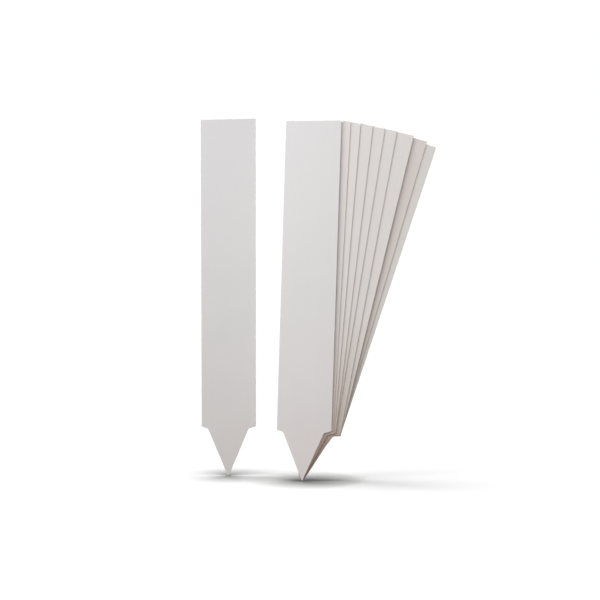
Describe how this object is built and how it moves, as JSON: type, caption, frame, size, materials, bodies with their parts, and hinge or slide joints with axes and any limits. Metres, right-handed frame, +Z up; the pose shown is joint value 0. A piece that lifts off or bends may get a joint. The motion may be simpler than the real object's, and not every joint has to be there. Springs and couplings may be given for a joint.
{
  "type": "plant label stake",
  "caption": "Set of flat push-in plant labels with stepped shoulders and a tapered point: one standing alone and the others fanned out about their points.",
  "frame": {"origin": "tip of the front label's point, at the middle of its thickness", "axes": "+Z up out of the soil along the labels, -Y out of their front faces, +X to the side that the fan opens to"},
  "size_m": [0.0845, 0.0134, 0.1307],
  "materials": {
    "label_sheet": "white rigid PVC sheet, satin matt on both faces, cut edges slightly duller"
  },
  "bodies": {
    "front_label": {"front_label": "label_sheet"},
    "fan_label_2": {"fan_label_2": "label_sheet"},
    "fan_label_3": {"fan_label_3": "label_sheet"},
    "fan_label_4": {"fan_label_4": "label_sheet"},
    "fan_label_5": {"fan_label_5": "label_sheet"},
    "fan_label_6": {"fan_label_6": "label_sheet"},
    "fan_label_7": {"fan_label_7": "label_sheet"},
    "fan_label_8": {"fan_label_8": "label_sheet"},
    "fan_label_9": {"fan_label_9": "label_sheet"},
    "single_label": {"single_label": "label_sheet"}
  },
  "joints": [
    {"name": "fan_label_2_turn", "type": "hinge", "parent": "front_label", "child": "fan_label_2", "pos_m": [0.00025, 0.00128, 0.00039], "axis": [0, 1, 0], "range_deg": [-1.37, 6.03]},
    {"name": "fan_label_3_turn", "type": "hinge", "parent": "front_label", "child": "fan_label_3", "pos_m": [0.00007, 0.00174, -0.00024], "axis": [0, 1, 0], "range_deg": [-3.02, 11.78]},
    {"name": "fan_label_4_turn", "type": "hinge", "parent": "front_label", "child": "fan_label_4", "pos_m": [0.00005, 0.00222, 0.00015], "axis": [0, 1, 0], "range_deg": [-5.03, 17.17]},
    {"name": "fan_label_5_turn", "type": "hinge", "parent": "front_label", "child": "fan_label_5", "pos_m": [-0.00053, 0.00268, 0.00043], "axis": [0, 1, 0], "range_deg": [-7.23, 22.37]},
    {"name": "fan_label_6_turn", "type": "hinge", "parent": "front_label", "child": "fan_label_6", "pos_m": [0.00074, 0.00314, 0.00027], "axis": [0, 1, 0], "range_deg": [-8.62, 28.38]},
    {"name": "fan_label_7_turn", "type": "hinge", "parent": "front_label", "child": "fan_label_7", "pos_m": [0, 0.00362, 0.00043], "axis": [0, 1, 0], "range_deg": [-11.7, 32.7]},
    {"name": "fan_label_8_turn", "type": "hinge", "parent": "front_label", "child": "fan_label_8", "pos_m": [-0.00079, 0.00494, 0.00176], "axis": [0, 1, 0], "range_deg": [-14.48, 37.32]},
    {"name": "fan_label_9_turn", "type": "hinge", "parent": "front_label", "child": "fan_label_9", "pos_m": [-0.00098, 0.00542, 0.00227], "axis": [0, 1, 0], "range_deg": [-16.34, 42.86]},
    {"name": "single_label_lift", "type": "slide", "parent": "front_label", "child": "single_label", "axis": [0, 0, 1], "range_m": [0, 0.135]}
  ]
}
